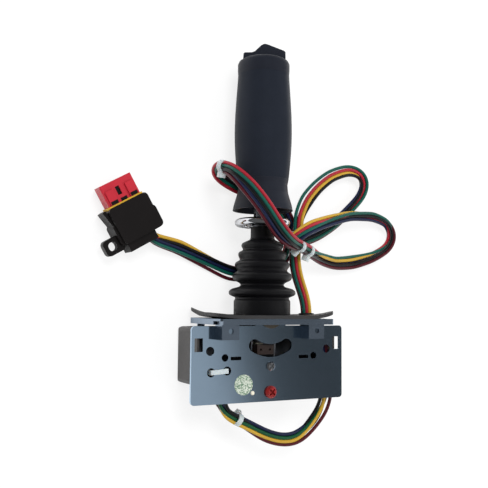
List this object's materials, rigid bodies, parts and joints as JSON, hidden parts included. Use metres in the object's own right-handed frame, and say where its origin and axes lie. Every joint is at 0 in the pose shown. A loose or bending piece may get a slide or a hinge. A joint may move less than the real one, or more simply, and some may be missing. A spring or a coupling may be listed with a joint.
{
  "type": "industrial joystick",
  "caption": "Single-axis hand joystick: grip with thumb rocker and lock ring on a booted lever, sprung and sensed in a steel chassis, with its tied wire harness and plug.",
  "frame": {"origin": "centre of the panel mounting face (the pan's upper face) on the lever's axis", "axes": "+Y along the lever from the mounting face towards the grip, +X along the chassis, +Z out of the front plate, so the joystick lies on its back with its lowest face at Z = -0.0255 m"},
  "size_m": [0.256, 0.2881, 0.055],
  "materials": {
    "pan_steel": "satin",
    "plate_steel": "satin",
    "bare_steel": "brushed",
    "zinc": "zinc plated",
    "cover_paint": "satin",
    "bronze": "sintered",
    "red_lacquer": "gloss",
    "nylon": "natural",
    "label_film": "gloss",
    "board_green": "lacquered",
    "cream_plastic": "moulded",
    "pot_black": "moulded",
    "boot_rubber": "matt",
    "flange_rubber": "matt",
    "wire_mixed": "insulation in mixed colours",
    "brown_plastic": "moulded",
    "cast_black": "blackened",
    "shaft_steel": "turned",
    "grip_plastic": "fine grain",
    "skirt_plastic": "satin",
    "ring_chrome": "polished",
    "connector_black": "moulded",
    "connector_red": "moulded",
    "seal_yellow": "matt"
  },
  "bodies": {
    "chassis": {"mounting_pan": "pan_steel", "front_plate": "plate_steel", "rear_plate": "bare_steel", "rear_cover": "cover_paint", "cover_screws": "zinc", "spacer_posts": "bare_steel", "pan_screws": "zinc", "pivot_bushings": "bronze", "lock_gate": "bare_steel", "anchor_post": "bare_steel", "anchor_screw": "zinc", "stop_nut": "zinc", "stop_screw": "red_lacquer", "case_rivet": "zinc", "strap_tie": "nylon", "inspection_sticker": "label_film", "potentiometer": "pot_black", "sensor_nut": "zinc", "circuit_board": "board_green", "board_header": "cream_plastic", "boot": "boot_rubber", "boot_flange": "flange_rubber", "harness_grommet": "boot_rubber", "harness_stem": "wire_mixed", "under_loop": "wire_mixed", "under_loop_tie": "nylon", "centring_spring": "zinc"},
    "lever": {"lever_hub": "cast_black", "sensor_sector": "cream_plastic", "follower_block": "brown_plastic", "lever_tube": "shaft_steel", "grip_body": "grip_plastic", "grip_head": "grip_plastic", "grip_skirt": "skirt_plastic", "skirt_screw": "zinc", "rocker_switch": "pot_black", "rocker_pin": "zinc", "upper_loop": "wire_mixed", "side_loop": "wire_mixed", "wrap_front": "wire_mixed", "wrap_back": "wire_mixed", "harness_tail": "wire_mixed", "bundle_ties": "nylon", "connector_shell": "connector_black", "connector_insert": "connector_red", "connector_seal": "seal_yellow", "lock_spring": "zinc"},
    "lock": {"lock_ring": "ring_chrome", "lock_rod": "bare_steel", "lock_pin": "zinc"},
    "rocker": {"thumb_rocker": "grip_plastic"},
    "sensor_rotor": {"sensor_gear": "cream_plastic", "sensor_shaft": "bare_steel"}
  },
  "joints": [
    {"name": "lever_swing", "type": "hinge", "parent": "chassis", "child": "lever", "pos_m": [0, 0.0025, 0], "axis": [0, 0, 1], "range_deg": [-25, 25], "stiffness_Nm_per_rad": 3, "deforming": ["boot", "centring_spring", "harness_stem"]},
    {"name": "lock_ring_lift", "type": "slide", "parent": "lever", "child": "lock", "axis": [0, 1, 0], "range_m": [0, 0.005], "stiffness_N_per_m": 600, "springref_m": -0.006, "deforming": ["lock_spring"]},
    {"name": "rocker_tilt", "type": "hinge", "parent": "lever", "child": "rocker", "pos_m": [0, 0.1856, 0], "axis": [0.4384, 0, -0.8988], "range_deg": [-9, 9], "stiffness_Nm_per_rad": 0.6},
    {"name": "sensor_turn", "type": "hinge", "parent": "chassis", "child": "sensor_rotor", "pos_m": [-0.01896, -0.01078, 0], "axis": [0, 0, 1], "range_deg": [-58, 58]}
  ],
  "couplings": [
    {"joint": "sensor_turn", "follows": "lever_swing", "ratio": -2.2857}
  ]
}
